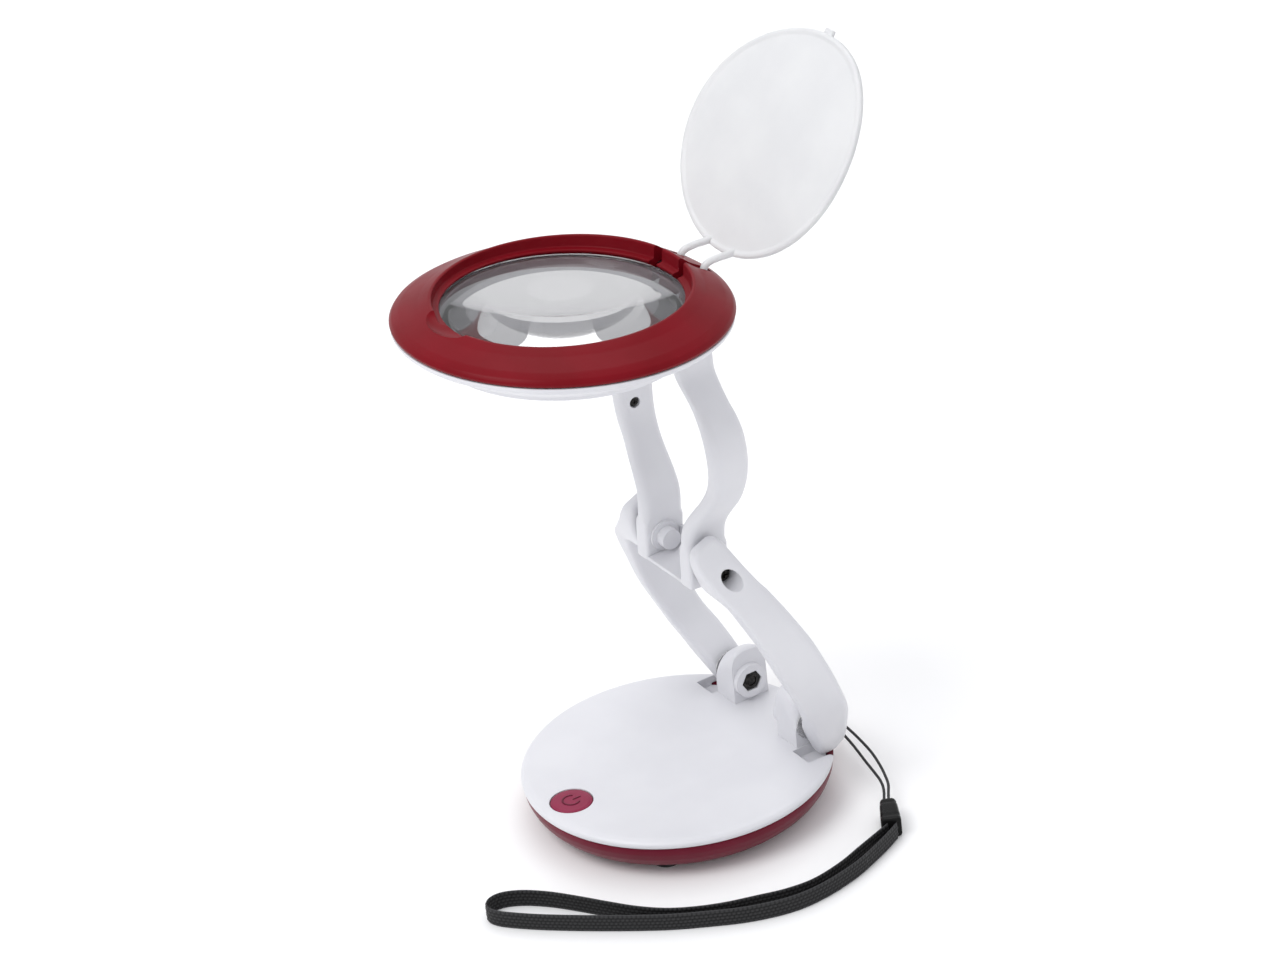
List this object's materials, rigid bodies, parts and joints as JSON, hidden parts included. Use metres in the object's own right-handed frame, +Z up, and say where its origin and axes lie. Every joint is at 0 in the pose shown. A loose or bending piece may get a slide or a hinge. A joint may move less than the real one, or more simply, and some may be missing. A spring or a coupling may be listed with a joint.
{
  "type": "folding desk magnifier lamp",
  "caption": "Folding desk magnifier with a lit round lens, a flip-up frosted cover, hooped double-bar arms, a round base and a wrist strap.",
  "frame": {"origin": "centre of the base on the surface it stands on", "axes": "+Z up; -Y the front of the base, where the button is; the hinges turn about X"},
  "size_m": [0.1571, 0.2008, 0.2869],
  "materials": {
    "white_plastic": "smooth satin-gloss moulded plastic",
    "red_plastic": "smooth deep red moulded plastic",
    "button_plastic": "satin red moulded plastic",
    "frosted_plastic": "milky translucent plastic",
    "lens_acrylic": "polished clear acrylic",
    "black_steel": "black oxide steel",
    "bright_steel": "plated steel",
    "black_rubber": "matt rubber",
    "black_webbing": "woven polyester",
    "black_plastic": "moulded black plastic",
    "circuit_board": "solder-masked circuit board",
    "battery_sleeve": "plain shrink sleeve",
    "led_resin": "clear yellow resin"
  },
  "bodies": {
    "base": {"base_lower_shell": "red_plastic", "base_top_plate": "white_plastic", "battery_tray": "black_plastic", "battery_1": "battery_sleeve", "battery_2": "battery_sleeve", "battery_3": "battery_sleeve", "battery_contact_front": "bright_steel", "battery_contact_rear": "bright_steel", "switch_board": "circuit_board", "push_switch": "black_plastic", "base_screw_1": "black_steel", "base_screw_2": "black_steel", "base_screw_3": "black_steel", "rubber_foot_1": "black_rubber", "rubber_foot_2": "black_rubber", "rubber_foot_3": "black_rubber", "rubber_foot_4": "black_rubber", "base_hinge_nut_left": "black_steel", "base_hinge_nut_right": "black_steel", "friction_washer_left": "bright_steel", "friction_washer_right": "bright_steel", "strap_cord": "black_webbing", "strap_slider": "black_plastic", "strap_band": "black_webbing"},
    "battery_door": {"battery_door": "red_plastic"},
    "power_button": {"power_button": "button_plastic"},
    "lower_arm": {"lower_arm_bar_left": "white_plastic", "lower_arm_bar_right": "white_plastic", "base_hinge_bolt_left": "black_steel", "base_hinge_bolt_right": "black_steel"},
    "upper_arm": {"upper_arm_frame": "white_plastic", "elbow_screw_left": "black_steel", "elbow_screw_right": "black_steel", "elbow_washer_left": "bright_steel", "elbow_washer_right": "bright_steel", "arm_screw_left": "black_steel", "arm_screw_right": "black_steel", "head_hinge_pin": "bright_steel"},
    "head": {"head_upper_ring": "red_plastic", "head_lower_shell": "white_plastic", "lens": "lens_acrylic", "led_board": "circuit_board", "led_diffuser": "frosted_plastic", "led_1": "led_resin", "led_2": "led_resin", "led_3": "led_resin", "led_4": "led_resin", "led_5": "led_resin", "led_6": "led_resin", "cover_hinge_pin": "bright_steel"},
    "cover": {"cover": "frosted_plastic"}
  },
  "joints": [
    {"name": "base_hinge", "type": "hinge", "parent": "base", "child": "lower_arm", "pos_m": [0, 0.044, 0.0268], "axis": [1, 0, 0], "range_deg": [0, 64]},
    {"name": "elbow_hinge", "type": "hinge", "parent": "lower_arm", "child": "upper_arm", "pos_m": [0, 0.012, 0.1055], "axis": [-1, 0, 0], "range_deg": [-10, 135]},
    {"name": "head_hinge", "type": "hinge", "parent": "upper_arm", "child": "head", "pos_m": [0, 0.017, 0.1903], "axis": [1, 0, 0], "range_deg": [-15, 75.5]},
    {"name": "cover_hinge", "type": "hinge", "parent": "head", "child": "cover", "pos_m": [0, 0.02982, 0.21352], "axis": [1, 0, 0], "range_deg": [0, 117.3]},
    {"name": "power_button_press", "type": "slide", "parent": "base", "child": "power_button", "axis": [0, 0, -1], "range_m": [0, 0.0008], "stiffness_N_per_m": 900},
    {"name": "battery_door_removal", "type": "slide", "parent": "base", "child": "battery_door", "axis": [0, 0, -1], "range_m": [0, 0.001]}
  ]
}
